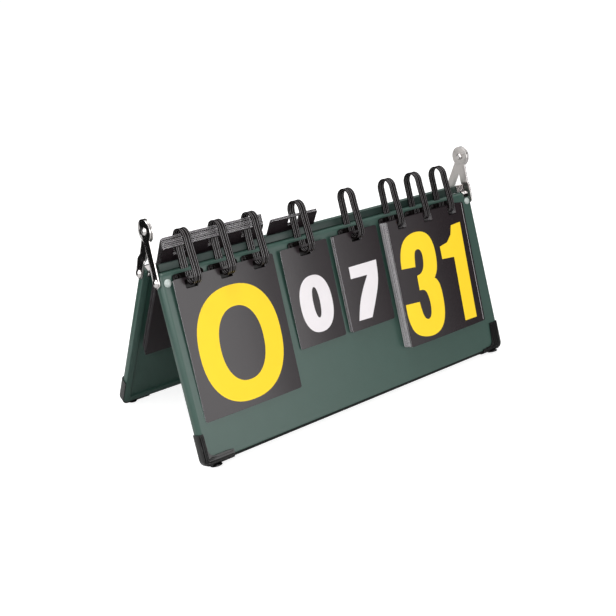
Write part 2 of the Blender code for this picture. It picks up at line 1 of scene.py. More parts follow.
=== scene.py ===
# %% [markdown]
# # A tabletop flip scoreboard
# Two green panels lean against each other like a small tent. Black ring straps stand on the front
# panel's top edge, and four sets of numbered leaves hang on them: two wide sets and two narrow
# ones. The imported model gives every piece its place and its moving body. This script dresses it:
# each piece is drawn again with the edges, ribs, prints and finishes of the real one, in the same
# place.

import json
import math
import random

import bmesh
import bpy
from mathutils import Matrix, Vector

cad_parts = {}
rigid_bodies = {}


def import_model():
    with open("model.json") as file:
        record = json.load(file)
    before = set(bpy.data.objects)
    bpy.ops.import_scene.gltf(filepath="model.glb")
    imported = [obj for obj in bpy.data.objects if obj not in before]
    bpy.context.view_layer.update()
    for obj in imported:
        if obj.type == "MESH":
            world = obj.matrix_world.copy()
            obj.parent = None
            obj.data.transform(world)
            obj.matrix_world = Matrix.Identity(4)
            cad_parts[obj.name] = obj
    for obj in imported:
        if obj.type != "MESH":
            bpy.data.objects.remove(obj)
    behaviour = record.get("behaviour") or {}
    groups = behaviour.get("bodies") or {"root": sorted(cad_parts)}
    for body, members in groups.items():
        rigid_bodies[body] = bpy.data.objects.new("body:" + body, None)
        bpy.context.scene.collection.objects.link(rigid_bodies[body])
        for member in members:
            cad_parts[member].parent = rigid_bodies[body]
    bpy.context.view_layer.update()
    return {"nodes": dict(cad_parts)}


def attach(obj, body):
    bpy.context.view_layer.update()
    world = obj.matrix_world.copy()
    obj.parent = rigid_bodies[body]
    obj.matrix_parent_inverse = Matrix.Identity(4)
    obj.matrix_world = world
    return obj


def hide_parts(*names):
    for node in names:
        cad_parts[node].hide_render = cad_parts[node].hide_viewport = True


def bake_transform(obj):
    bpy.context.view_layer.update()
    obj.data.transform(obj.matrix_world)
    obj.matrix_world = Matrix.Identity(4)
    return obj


for leftover in list(bpy.data.objects):
    bpy.data.objects.remove(leftover, do_unlink=True)
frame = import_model()

# %% [markdown]
# ## Sizes
# All sizes are in metres. A place on a panel is (x, h, d): x along the width, h up the face from
# its lower edge, and d out of the face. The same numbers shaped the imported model, so a piece that
# is drawn from them fits without any nudging.

# %% Sizes of the panels
WIDTH = 0.380
HEIGHT = 0.172
THICK = 0.009
LEAN = math.radians(21.4)
TOP_GAP = 0.0147
FACE_ROUND = 0.0042
CORNER_ROUND = 0.005
RECESS = 0.002
RIM = 0.007
REAR_SHORT = 0.0027
RAIL_RISE = 0.0072
GAP = 0.0003
GUARD = 0.0009
FOOT_RADIUS, FOOT_THICK, FOOT_FLAT = 0.0055, 0.0012, 0.0016
SIN, COS = math.sin(LEAN), math.cos(LEAN)
FOOTPRINT = HEIGHT * SIN + THICK * COS + TOP_GAP / 2
BASE = (GUARD + GAP + FOOT_THICK) * COS + (THICK / 2 + FOOT_RADIUS - FOOT_FLAT) * SIN
print("panel edge to panel edge on the table: %.1f mm" % (2000 * FOOTPRINT))

# %% Sizes of the leaves and where the rings stand
WIDE, NARROW = 0.275 * WIDTH, 0.1432 * WIDTH
RING_PITCH = 0.3378 * WIDE
MARGIN, SIDE_SPACE, MIDDLE_SPACE = 0.0263 * WIDTH, 0.0213 * WIDTH, 0.0153 * WIDTH
wide_set = {"across": WIDE, "drop": 0.7355 * HEIGHT, "count": 32, "pitch": 0.00035, "bow": 0.0012}
narrow_set = {"across": NARROW, "drop": 0.5448 * HEIGHT, "count": 8, "pitch": 0.00046,
              "bow": 0.0005}
leaf_sets = {}
left_edge = MARGIN - WIDTH / 2
for name, kind, space in (("left", wide_set, SIDE_SPACE), ("small_left", narrow_set, MIDDLE_SPACE),
                          ("small_right", narrow_set, SIDE_SPACE), ("right", wide_set, 0.0)):
    centre = left_edge + kind["across"] / 2
    rings = [centre - RING_PITCH, centre, centre + RING_PITCH] if kind is wide_set else [centre]
    leaf_sets[name] = {**kind, "centre": centre, "rings": rings}
    left_edge += kind["across"] + space
ring_places = [x for each in leaf_sets.values() for x in each["rings"]]
print("rings at (mm):", [round(x * 1000, 1) for x in ring_places])

# %% [markdown]
# ## Frames of the two panels
# A matrix that turns (x, h, d) into world coordinates lets every piece be drawn flat, as if the
# panel lay on a bench, and stand up in its place afterwards. The front panel leans back and the
# rear panel is the same one turned round.

# %% Panel frames
def frame_of(right, up, out, origin):
    """A matrix from its three axes and its origin."""
    turn = Matrix((right, up, out)).transposed().to_4x4()
    turn.translation = Vector(origin)
    return turn


FRONT = frame_of((1, 0, 0), (0, SIN, COS), (0, -COS, SIN), (0, -FOOTPRINT, BASE))
REAR = frame_of((-1, 0, 0), (0, -SIN, COS), (0, COS, SIN), (0, FOOTPRINT, BASE))
STANDS = (("front", FRONT, 1), ("rear", REAR, -1))
SIDES = (("left", -1), ("right", 1))
CORNERS = [(*stand, *side) for stand in STANDS for side in SIDES]


def moved(x, h, d):
    """A matrix that moves a piece by x, h and d."""
    return Matrix.Translation((x, h, d))


print("front panel's top edge:", [round(c, 4) for c in FRONT @ Vector((0, HEIGHT, 0))])


# %% [markdown]
# ## Finishes
# Each finish is a node material. Colours are linear, and sizes of grain are given in real metres
# through the object's own coordinates, so the grain stays on the piece when it turns. A very fine
# unevenness of the gloss makes a reflection look like paint or plastic and not like glass.

# %% A helper for finishes
GLOSS_VARIES = 0.04
SLOW_SHARE = 0.04


def tree_of(owner):
    """The nodes and the links of a material or a background."""
    owner.use_nodes = True
    return owner.node_tree.nodes, owner.node_tree.links


def finish(name, colour, roughness, grain, bump, shade, sheen=0.5, metallic=0.0):
    """A material with a fine grain, its size in metres; shade is how much the colour varies."""
    made = bpy.data.materials.new(name)
    nodes, links = tree_of(made)
    shader = nodes["Principled BSDF"]
    for socket, value in (("Base Color", (*colour, 1.0)), ("Roughness", roughness),
                          ("Metallic", metallic), ("Specular IOR Level", sheen)):
        shader.inputs[socket].default_value = value
    place = nodes.new("ShaderNodeTexCoord")
    fine, slow = nodes.new("ShaderNodeTexNoise"), nodes.new("ShaderNodeTexNoise")
    for noise, scale, detail in ((fine, 1.0, 3.0), (slow, SLOW_SHARE, 2.0)):
        noise.inputs["Scale"].default_value = scale / grain
        noise.inputs["Detail"].default_value = detail
        links.new(place.outputs["Object"], noise.inputs["Vector"])
    if bump:
        relief = nodes.new("ShaderNodeBump")
        relief.inputs["Strength"].default_value = bump
        relief.inputs["Distance"].default_value = grain
        links.new(fine.outputs["Fac"], relief.inputs["Height"])
        links.new(relief.outputs["Normal"], shader.inputs["Normal"])
    tint = nodes.new("ShaderNodeMix")
    tint.data_type = "RGBA"
    tint.inputs[6].default_value = (*[c * (1 - shade) for c in colour], 1.0)
    tint.inputs[7].default_value = (*[min(c * (1 + shade), 1.0) for c in colour], 1.0)
    links.new(slow.outputs["Fac"], tint.inputs["Factor"])
    links.new(tint.outputs[2], shader.inputs["Base Color"])
    gloss = nodes.new("ShaderNodeMapRange")
    gloss.inputs["To Min"].default_value = roughness - GLOSS_VARIES
    gloss.inputs["To Max"].default_value = roughness + GLOSS_VARIES
    links.new(fine.outputs["Fac"], gloss.inputs["Value"])
    links.new(gloss.outputs["Result"], shader.inputs["Roughness"])
    return made


# %% The finishes of the scoreboard
# A row is: colour, roughness, grain, its relief, how much the colour varies, sheen and metal.
finish_rows = {
    "green_paint": ((0.030, 0.068, 0.054), 0.36, 0.0006, 0.06, 0.06),
    # The rail's green is darker than the panel's: its paint with painted shade under the leaves.
    "rail_paint_and_shade": ((0.014, 0.029, 0.024), 0.42, 0.0006, 0.06, 0.06, 0.4),
    # The corner rivets' pale grey is a painted highlight on their domes.
    "rivet_painted_highlight": ((0.40, 0.45, 0.43), 0.30, 0.0005, 0.04, 0.06, 0.8),
    # The panels' down-facing lower edge is near black: painted shade.
    "lower_edge_shade": ((0.006, 0.009, 0.008), 0.45, 0.0006, 0.05, 0.10, 0.12),
    "black_plastic": ((0.004, 0.003, 0.003), 0.20, 0.0005, 0.02, 0.15, 0.11),
    # Grey on the straps' black rib tops: a painted highlight.
    "rib_top_highlight": ((0.13, 0.12, 0.125), 0.28, 0.0004, 0.03, 0.15, 0.9),
    "guard_plastic": ((0.006, 0.006, 0.006), 0.20, 0.0006, 0.04, 0.15, 0.36),
    "leaf_face": ((0.017, 0.012, 0.014), 0.23, 0.0004, 0.03, 0.06, 0.39),
    "leaf_edge": ((0.62, 0.60, 0.62), 0.60, 0.0003, 0.0, 0.10),
    # The flipped leaves' top edges get this paler copy of the edge: a painted highlight. The next
    # row is a dark copy for their side and lower edges: painted shade between the panels.
    "flipped_edge_highlight": ((0.90, 0.88, 0.90), 0.60, 0.0003, 0.0, 0.10),
    "painted_shade_edge": ((0.12, 0.115, 0.12), 0.50, 0.0003, 0.0, 0.20),
    "yellow_print": ((0.95, 0.65, 0.004), 0.55, 0.0005, 0.02, 0.02),
    "white_print": ((0.79, 0.75, 0.77), 0.55, 0.0005, 0.02, 0.02),
    "plated_steel": ((0.70, 0.67, 0.66), 0.11, 0.0008, 0.02, 0.05, 0.5, 1.0),
    "satin_steel": ((0.60, 0.57, 0.55), 0.36, 0.0006, 0.05, 0.05, 0.5, 1.0),
}
finishes = {name: finish(name, *row) for name, row in finish_rows.items()}
print("finishes:", ", ".join(finishes))


# %% [markdown]
# ## How pieces are put in place
# A piece is drawn as a mesh in its own frame, gets its finish, is placed by a matrix and then rides
# on the body that it belongs to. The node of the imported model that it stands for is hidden.

# %% Placing a piece
def added(name, data):
    """A new object in the scene."""
    made = bpy.data.objects.new(name, data)
    bpy.context.scene.collection.objects.link(made)
    return made


def piece(name, mesh, looks, body, place=None, stands_for=()):
    """Makes one named piece of the scoreboard."""
    made = added(name, mesh)
    made.matrix_world = place or Matrix()
    if not mesh.materials:
        for look in looks:
            mesh.materials.append(finishes[look])
    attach(made, body)
    if stands_for:
        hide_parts(*stands_for)
    print("%s on %s: %d faces" % (name, body, len(mesh.polygons)))


# %% [markdown]
# ## How meshes are drawn
# Most pieces are a skin over a row of rings, a profile turned about an axis, or a flat outline with
# a thickness. Where one solid has to be cut out of another, a modifier on a helper object does it.

# %% Working on meshes
def opened(mesh):
    """A mesh as a shape that can be edited."""
    shape = bmesh.new()
    shape.from_mesh(mesh)
    return shape


def closed(shape, mesh):
    """Writes an edited shape into a mesh."""
    shape.to_mesh(mesh)
    shape.free()
    return mesh


def slit(shape, at, across, **more):
    """Cuts the faces of a shape along a plane, so that they can bend or change finish there."""
    everything = shape.verts[:] + shape.edges[:] + shape.faces[:]
    bmesh.ops.bisect_plane(shape, geom=everything, plane_co=at, plane_no=across, **more)


def mesh_of(shape, name):
    """A new mesh from a shape, with its normals facing out."""
    bmesh.ops.recalc_face_normals(shape, faces=shape.faces)
    return closed(shape, bpy.data.meshes.new(name))


def merged(parts, name):
    """One mesh from (mesh, matrix) pairs."""
    shape = bmesh.new()
    for mesh, matrix in parts:
        copy = mesh.copy()
        copy.transform(matrix)
        if matrix.determinant() < 0:
            copy.flip_normals()
        shape.from_mesh(copy)
        bpy.data.meshes.remove(copy)
    return closed(shape, bpy.data.meshes.new(name))


def smoothed(mesh, angle=35):
    """Smooth shading with sharp edges where two faces meet at more than the angle."""
    mesh.shade_smooth()
    mesh.set_sharp_from_angle(angle=math.radians(angle))
    return mesh


# %% Working through a helper object
def evaluated(holder, name):
    """The mesh that an object gives with its modifiers; the object is removed."""
    bpy.context.view_layer.update()
    graph = bpy.context.evaluated_depsgraph_get()
    made = bpy.data.meshes.new_from_object(holder.evaluated_get(graph))
    made.name = name
    bpy.data.objects.remove(holder, do_unlink=True)
    return made


def weighted(mesh):
    """The mesh with normals that follow its large faces, so that flat parts shade flat."""
    holder = added("holder", mesh)
    holder.modifiers.new("weigh", "WEIGHTED_NORMAL").keep_sharp = True
    return evaluated(holder, mesh.name)


def cut_away(mesh, tool):
    """The mesh with the tool mesh cut out of it; both are in the same frame."""
    holder, helper = added("holder", mesh), added("tool", tool)
    step = holder.modifiers.new("cut", "BOOLEAN")
    step.operation = "DIFFERENCE"
    step.solver = "EXACT"
    step.object = helper
    made = evaluated(holder, mesh.name)
    bpy.data.objects.remove(helper, do_unlink=True)
    return made


# %% Outlines and skins
def arc(centre, radius, start, end, steps):
    """Points along an arc; angles in degrees."""
    points = []
    for i in range(steps + 1):
        angle = math.radians(start + (end - start) * i / steps)
        points.append((centre[0] + radius * math.cos(angle), centre[1] + radius * math.sin(angle)))
    return points


def softened(left, right, low, high, radius, steps=3):
    """A rectangle with round corners, as 2-D points."""
    return (arc((right - radius, low + radius), radius, -90, 0, steps) +
            arc((right - radius, high - radius), radius, 0, 90, steps) +
            arc((left + radius, high - radius), radius, 90, 180, steps) +
            arc((left + radius, low + radius), radius, 180, 270, steps))


def eased(share):
    """A share from 0 to 1 that starts and ends slowly."""
    return share * share * (3 - 2 * share)


def lofted(rings, name):
    """A skin over rings of equally many points, closed at both ends."""
    shape = bmesh.new()
    rows = [[shape.verts.new(point) for point in ring] for ring in rings]
    for low, high in zip(rows, rows[1:]):
        for i in range(len(low)):
            j = (i + 1) % len(low)
            shape.faces.new((low[i], low[j], high[j], high[i]))
    shape.faces.new(rows[0][::-1])
    shape.faces.new(rows[-1])
    return mesh_of(shape, name)


def turned(profile, name, steps=40):
    """A round piece from (radius, height) points, turned about Z."""
    rings = []
    for radius, height in profile:
        angles = [2 * math.pi * i / steps for i in range(steps)]
        rings.append([(radius * math.cos(a), radius * math.sin(a), height) for a in angles])
    return smoothed(lofted(rings, name), 40)


# %% [markdown]
# ## Panels
# On the real board a panel is a moulded tray: its face edges are well rounded, and its inner side
# is hollowed out inside a narrow rim. A skin over rounded rectangles gives all of that in one
# closed mesh: the rings start on the tray's floor, climb over the rim, go round the edge and end on
# the face. One more ring just inside the face keeps the flat part flat under smooth shading. The
# rounded lower edge faces down into shade, and the near-black finish on it is painted shade; it
# shows as a thin dark line under the face.

# %% A rounded slab, ring by ring
LEAST_ROUND = 0.0006
FLAT_IN = 0.0008
EDGE_STEPS = 8
FLOOR = RECESS - THICK
# Rings of the tray from its floor over the rim: how far in from the outline, and how deep.
TRAY = ((RIM + 0.0014, FLOOR), (RIM + 0.0007, FLOOR), (RIM + 0.0002, FLOOR - 0.0002),
        (RIM, FLOOR - 0.0006), (RIM - 0.0001, 0.0004 - THICK), (RIM - 0.0006, -THICK),
        (0.0009, -THICK), (0.0003, 0.0002 - THICK), (0.0, 0.0008 - THICK))


def slab_ring(inset, d, height=HEIGHT):
    """A rounded rectangle, drawn in from the panel's outline, at depth d."""
    radius = max(CORNER_ROUND - inset, LEAST_ROUND)
    outline = softened(inset - WIDTH / 2, WIDTH / 2 - inset, inset, height - inset, radius, 6)
    return [(x, h, d) for x, h in outline]


def face_rings(grow, height=HEIGHT):
    """The rings round the outer face's rounding, for a slab grown by so much on all sides."""
    radius = FACE_ROUND + grow
    rings = []
    for x, y in arc((0, 0), radius, 0, 90, EDGE_STEPS):
        rings.append(slab_ring(radius - x - grow, y - FACE_ROUND, height))
    return rings + [slab_ring(FACE_ROUND + FLAT_IN, grow, height)]


def panel_mesh(name, height):
    """A whole panel, as a tray with a rounded face."""
    inside = [slab_ring(inset, d, height) for inset, d in TRAY]
    return lofted(inside + face_rings(0.0, height), name)


# %% The two panels
SLOT_HALF, SLOT_DEPTH, SLOT_OVER = 0.0043, 0.012, 0.002
SLOT_FROM, SLOT_TO = -0.0033, -0.0011
LOWER_EDGE, FACING_DOWN = 0.0032, -0.15


def block(low, high):
    """A plain box to cut with."""
    shape = bmesh.new()
    bmesh.ops.create_cube(shape, size=1.0)
    for vertex in shape.verts:
        vertex.co = [(low[i] + high[i]) / 2 + vertex.co[i] * (high[i] - low[i]) for i in range(3)]
    return mesh_of(shape, "block")


def paint_lower_edge_shade(mesh):
    """Gives a panel's lower edge, up to its face, the second finish: painted shade."""
    for polygon in mesh.polygons:
        if polygon.center.y < LOWER_EDGE and polygon.normal.y < FACING_DOWN:
            polygon.material_index = 1
    return mesh


slots = merged([(block((x - SLOT_HALF, HEIGHT - SLOT_DEPTH, SLOT_FROM),
                       (x + SLOT_HALF, HEIGHT + SLOT_OVER, SLOT_TO)), Matrix())
                for x in ring_places], "slots")
front_skin = cut_away(panel_mesh("front_panel_skin", HEIGHT), slots)
rear_skin = panel_mesh("rear_panel_skin", HEIGHT - REAR_SHORT)
for (end, panel, _), skin in zip(STANDS, (front_skin, rear_skin)):
    piece(end + "_panel_skin", smoothed(paint_lower_edge_shade(skin)), ["green_paint", "lower_edge_shade"],
          end + "_stand", panel, [end + "_panel"])

# %% [markdown]
# ## Ring rail and corner rivets
# A narrow painted bar is pinned on the front panel's top edge, behind the straps. It stops the
# flipped leaves. Its green is darker than the panel's: its paint plus painted shade from the
# flipped leaves above it. Its section has softened corners, so it is a short outline pulled along
# the width.
# Near each top corner is a flat-domed rivet; its pale grey colour is a painted highlight.

# %% Ring rail
RAIL_FRONT, RAIL_IN, RAIL_SOFT, CHAMFER = -0.00325, 0.004, 0.0006, 0.0005

rail_rings = []
for way, less in ((-1, CHAMFER), (-1, 0.0), (1, 0.0), (1, CHAMFER)):
    outline = softened(less - THICK, RAIL_FRONT - less, HEIGHT + GAP + less,
                       HEIGHT + RAIL_RISE - less, RAIL_SOFT)
    end = way * (WIDTH / 2 - RAIL_IN - (CHAMFER - less))
    rail_rings.append([(end, h, d) for d, h in outline])
piece("rail_bar", smoothed(lofted(rail_rings, "rail_bar"), 50), ["rail_paint_and_shade"], "front_stand",
      FRONT, ["ring_rail"])

# %% Corner rivets
RIVET_IN, RIVET_DOWN = 0.007, 0.010
rivet_dome = turned([(0.0008, 0.00198), (0.0016, 0.0018), (0.0023, 0.0015), (0.0029, 0.00105),
                     (0.0033, 0.0006), (0.0036, 0.0001), (0.0036, 0.0), (0.0015, 0.0),
                     (0.0015, -0.0016)], "corner_rivet_dome")
for side, way in SIDES:
    place = FRONT @ moved(way * (WIDTH / 2 - RIVET_IN), HEIGHT - RIVET_DOWN, 0)
    piece("corner_dome_" + side, rivet_dome, ["rivet_painted_highlight"], "front_stand", place,
          ["corner_rivet_" + side])

# %% [markdown]
# ## Ring straps
# Each strap is a moulded strip with four narrow ribs and sunk bands between them, bent into a tall
# loop: up from its slot, over the arch, down in front of the leaves and back through their hole to
# the base plate. The section is drawn once and carried along the path, turned with it at every
# point, so the ribs run all the way round. The strap is black; the grey on its rib tops is a
# painted highlight.

# %% The strap's path
BACK_LEG, FRONT_LEG = -0.0022, 0.0152
CURL_FRONT, CURL_BACK = 0.0173, 0.0027
ARCH_UP, CURL_UP = HEIGHT + 0.0237, HEIGHT - 0.008
ARCH_AT, ARCH_ROUND = (BACK_LEG + FRONT_LEG) / 2, (FRONT_LEG - BACK_LEG) / 2
CURL_AT, CURL_ROUND = (CURL_FRONT + CURL_BACK) / 2, (CURL_FRONT - CURL_BACK) / 2
BASE_TOP = HEIGHT - 0.004
TAIL_DOWN, LEG_UP = 0.0114, 0.012
BEND_STEPS, LEG_STEPS = 24, 6

strap_path = [(BACK_LEG, HEIGHT - TAIL_DOWN), (BACK_LEG, HEIGHT), (BACK_LEG, HEIGHT + LEG_UP)]
strap_path += arc((ARCH_AT, ARCH_UP), ARCH_ROUND, 180, 0, BEND_STEPS)
for i in range(1, LEG_STEPS):
    share = i / LEG_STEPS
    strap_path.append((FRONT_LEG + (CURL_FRONT - FRONT_LEG) * eased(share),
                       ARCH_UP + (CURL_UP - ARCH_UP) * share))
strap_path += arc((CURL_AT, CURL_UP), CURL_ROUND, 0, -180, BEND_STEPS)
strap_path.append((CURL_BACK, BASE_TOP))
print("strap path points:", len(strap_path))

# %% The strap's ribbed section, carried along the path
STRAP_HALF = 0.00075
RIB_HIGH, RIB_END = 0.00058, 0.0035
# A quarter of the section, from the middle to the side: how far across, and half the thickness.
quarter = [(0.0, 0.00018), (0.0009, 0.00018), (0.0011, 0.00060), (0.0015, 0.00060),
           (0.0017, 0.00022), (0.0027, 0.00022), (0.0029, 0.00072), (0.0033, STRAP_HALF),
           (0.0038, 0.00062), (0.0040, 0.00030)]
half_section = quarter + [(x, -t) for x, t in quarter[::-1]]
section = half_section + [(-x, t) for x, t in half_section[::-1][1:-1]]


def on_rib(column):
    """Whether the face that starts at this point of the section is the top of a rib."""
    (ax, at), (bx, bt) = section[column], section[(column + 1) % len(section)]
    return abs(at + bt) / 2 > RIB_HIGH and abs(ax + bx) / 2 < RIB_END


strap_rings = []
for i, (d, h) in enumerate(strap_path):
    before, after = strap_path[max(i - 1, 0)], strap_path[min(i + 1, len(strap_path) - 1)]
    run = Vector((after[0] - before[0], after[1] - before[1])).normalized()
    strap_rings.append([(x, h + run.x * t, d - run.y * t) for x, t in section])
strap_mesh = smoothed(lofted(strap_rings, "ribbed_strap"), 38)
# The rib tops get the second, grey finish: a painted highlight on the black strap.
for polygon in strap_mesh.polygons:
    polygon.material_index = int(on_rib(polygon.index % len(section)))
for number, x in enumerate(ring_places, 1):
    piece("ribbed_strap_%d" % number, strap_mesh, ["black_plastic", "rib_top_highlight"], "front_stand",
          FRONT @ moved(x, 0, 0), ["ring_%d" % number])

# %% [markdown]
# ## Base plates
# The front end of each strap sits on a small plate that two screws hold on the panel's face. It is
# mostly hidden behind the leaves, but its top edge and its screw heads show between them.

# %% Flat pieces from outlines
def flat_piece(loops, thickness, edge_round, name):
    """A flat piece in the XY plane; the first loop is its rim, the others are holes in it."""
    curve = bpy.data.curves.new("outline", "CURVE")
    curve.dimensions = "2D"
    curve.fill_mode = "BOTH"
    curve.extrude = thickness / 2 - edge_round
    curve.bevel_depth = edge_round
    curve.bevel_resolution = 1
    curve.offset = -edge_round
    for loop in loops:
        spline = curve.splines.new("POLY")
        spline.points.add(len(loop) - 1)
        for point, (x, y) in zip(spline.points, loop):
            point.co = (x, y, 0.0, 1.0)
        spline.use_cyclic_u = True
    shape = opened(evaluated(added("outline", curve), "outline"))
    bmesh.ops.remove_doubles(shape, verts=shape.verts, dist=1e-7)
    return mesh_of(shape, name)


# %% Base plates with their screws
BASE_ACROSS, BASE_HIGH, BASE_CORNER, BASE_SOFT = 0.87 * RING_PITCH, 0.0165, 0.003, 0.0003
BASE_FRONT = CURL_BACK - STRAP_HALF - GAP
SCREW_OUT, SCREW_DOWN = 0.36 * BASE_ACROSS, 0.0028
outline = softened(-BASE_ACROSS / 2, BASE_ACROSS / 2, -BASE_HIGH, 0.0, BASE_CORNER, 5)
base_plate = flat_piece([outline], BASE_FRONT - GAP, BASE_SOFT, "base_plate")
screw_dome = turned([(0.0001, 0.0015), (0.0010, 0.00145), (0.0018, 0.0012), (0.0023, 0.0008),
                     (0.0026, 0.0002), (0.0026, 0.0), (0.0012, -0.0002)], "base_screw", 28)
parts = [(base_plate, moved(0, 0, (BASE_FRONT + GAP) / 2))]
for way in (-1, 1):
    parts.append((screw_dome, moved(way * SCREW_OUT, -SCREW_DOWN, BASE_FRONT)))
base_mesh = smoothed(merged(parts, "base_plate_and_screws"), 40)
for number, x in enumerate(ring_places, 1):
    piece("base_plate_%d" % number, base_mesh, ["black_plastic"], "front_stand",
          FRONT @ moved(x, BASE_TOP, 0), ["ring_base_%d" % number])

# %% [markdown]
# ## Leaves
# A leaf is a thin black plastic sheet with softened corners and a punched hole for each ring. Its
# cut edge is pale, so a stack of leaves looks light grey from the side. One leaf is drawn as a flat
# outline with holes, and a stack repeats it with tiny seeded shifts, because no two leaves on real
# rings lie exactly alike. A hanging leaf also bows forward a little at its middle, which makes its
# sheen fall from left to right. Its top edge lies deep between the rings, in shade, and gets the
# dark face finish instead of the pale edge: painted shade. On the leaf with the 31, a thin strip
# along its right side gets the pale edge finish as a painted highlight of its cut edge.

# %% One leaf, and stacks of them
LEAF_CORNER, HOLE_CORNER, HOLE = 0.0018, 0.0012, 0.0125
BOW_COLUMNS = 12
FACE, EDGE, SHADED_EDGE = 0, 1, 2
# How far a normal has to point up or out for these two choices of finish.
SIDEWAYS, UPWARDS = 0.5, 0.7


def leaf_mesh(group, sheet, hole_top, hole_end, rows=()):
    """One leaf with its top edge on the X axis, cut across at the given heights so it can bend."""
    half = group["across"] / 2
    loops = [softened(-half, half, -group["drop"], 0.0, LEAF_CORNER, 4)]
    for x in group["rings"]:
        left, right = x - group["centre"] - HOLE / 2, x - group["centre"] + HOLE / 2
        loops.append(softened(left, right, -hole_end, -hole_top, HOLE_CORNER))
    mesh = flat_piece(loops, sheet, 0.0, "leaf")
    shape = opened(mesh)
    for row in rows:
        slit(shape, (0, row, 0), (0, 1, 0))
    shape.normal_update()
    for face in shape.faces:
        face.material_index = EDGE if abs(face.normal.z) < SIDEWAYS else FACE
    return closed(shape, mesh)


def bowed(mesh, group):
    """The mesh in narrow columns, lifted towards the leaf's middle."""
    half = group["across"] / 2
    shape = opened(mesh)
    for i in range(1, BOW_COLUMNS):
        slit(shape, (half * (2 * i / BOW_COLUMNS - 1), 0, 0), (1, 0, 0))
    for vertex in shape.verts:
        vertex.co.z += group["bow"] * (0.5 - (vertex.co.x / half) ** 2)
    return closed(shape, mesh)


def paint_edge_highlight(mesh, side):
    """The strip of a leaf right of the given line gets the pale edge finish: a painted highlight.
    """
    shape = opened(mesh)
    slit(shape, (side, 0, 0), (1, 0, 0))
    for face in shape.faces:
        if face.calc_center_median().x > side:
            face.material_index = EDGE
    closed(shape, mesh)


def leaf_stack(leaf, places, name):
    """Many leaves in one mesh; each place is (across, up, out, turn)."""
    return merged([(leaf, moved(*place[:3]) @ Matrix.Rotation(place[3], 4, "Z"))
                   for place in places], name)


# %% Leaves that hang in front
LEAF_SHEET, LEAF_CLEAR, LEAF_DOWN, EDGE_HIGHLIGHT_STRIP = 0.00030, 0.0009, 0.0085, 0.0004
LEAF_HOLE = (0.0021, 0.0100)
# How loosely a leaf hangs: across, up and out in metres, and its turn in degrees.
SLACK_ACROSS, SLACK_UP, SLACK_OUT, SLACK_TURN = 0.0003, 0.0002, 0.00003, 0.06
LEAF_TILT = math.radians(1.5)
FIRST_LEAF = CURL_BACK + STRAP_HALF + LEAF_CLEAR
LEAF_TOP = HEIGHT - LEAF_DOWN - CURL_UP
HUNG = FRONT @ moved(0, CURL_UP, CURL_AT) @ Matrix.Rotation(LEAF_TILT, 4, "X")
# Leaves that hang further right than their set, counted from the panel, and how far.
ASTRAY = {"right": {30: 0.0019, 29: 0.0018, 27: 0.0019, 26: 0.0017, 21: 0.0018, 20: 0.0019,
                    15: 0.0016, 14: 0.0018, 9: 0.0019, 8: 0.0016, 3: 0.0015},
          "small_right": {5: 0.0010, 3: 0.0012, 2: 0.0011}}
chance = random.Random(7)


def loose(most):
    """A small shift to either side."""
    return chance.uniform(-most, most)


def hung_places(name, first, count):
    """Places of hanging leaves; number 0 is next to the panel."""
    group = leaf_sets[name]
    places = []
    for i in range(first, first + count):
        across = group["centre"] + loose(SLACK_ACROSS) + ASTRAY.get(name, {}).get(i, 0.0)
        up = LEAF_TOP + loose(SLACK_UP)
        out = FIRST_LEAF + group["pitch"] * i - CURL_AT + loose(SLACK_OUT)
        places.append((across, up, out, math.radians(loose(SLACK_TURN))))
    return places


# Each node of hanging leaves: its set, its first leaf and how many it has.
hung = {"left_front_leaf": ("left", 0, 1), "small_left_front_leaf": ("small_left", 0, 1),
        "small_right_leaves": ("small_right", 0, 7),
        "small_right_front_leaf": ("small_right", 7, 1),
        "right_leaves": ("right", 0, 31), "right_front_leaf": ("right", 31, 1)}
front_place = {}
for node, (group_name, first, count) in hung.items():
    group = leaf_sets[group_name]
    places = hung_places(group_name, first, count)
    leaf = bowed(leaf_mesh(group, LEAF_SHEET, *LEAF_HOLE), group)
    # The leaf with the 31 gets a thin pale strip on its right side: a painted highlight of its
    # edge.
    if node == "right_front_leaf":
        paint_edge_highlight(leaf, group["across"] / 2 - EDGE_HIGHLIGHT_STRIP)
    # A hanging leaf's top edge lies in shade between the rings and gets the dark face finish:
    # painted shade.
    for polygon in leaf.polygons:
        if polygon.normal.y > UPWARDS:
            polygon.material_index = FACE
    stack = leaf_stack(leaf, places, node + "_sheets")
    piece(node + "_sheets", smoothed(stack), ["leaf_face", "leaf_edge"], node, HUNG, [node])
    front_place[node] = places[-1]

# %% [markdown]
# ## Flipped leaves
# The leaves that aren't in use hang over the rail's back edge and lie against the rear panel. They
# are whole sheets: they start in the rings, in front of the rail, and run down between the panels.
# When the board folds flat they bend at the rail, so their mesh has rows of points there. The
# leaves lie in batches with dark gaps, as they fall when flipped a few at a time. Their top edges
# get a paler copy of the edge finish as a painted highlight. Their side and lower edges, by which
# they are flipped, lie in shade between the panels and get a dark copy as painted shade.

# %% Flipped stacks
BEND_OFF, BEND_ZONE = 0.0005, 0.003
BEND_H = HEIGHT + RAIL_RISE + BEND_OFF * math.sin(2 * LEAN)
BEND_D = -THICK - BEND_OFF * math.cos(2 * LEAN)
FLIPPED = frame_of((1, 0, 0), (0, -SIN, COS), (0, -COS, -SIN), FRONT @ Vector((0, BEND_H, BEND_D)))
FLIPPED_SHEET, TIGHT_PITCH, EVEN_PITCH = 0.00012, 0.00013, 0.00021
FLIPPED_HOLE, FLIPPED_EDGE = (0.0009, 0.0092), 0.0011
FLIPPED_SLACK, FLIPPED_SINK = 0.0004, (-0.0006, 0.00005)
ROW, ROWS = 0.001, 12
TOP_IN = (FLIPPED_EDGE - BEND_D) / math.sin(2 * LEAN)
# Each batch of leaves starts at one of these numbers, after a gap.
gaps_before = {"left": (4, 9, 14, 18, 22, 27), "small_left": (3, 5)}

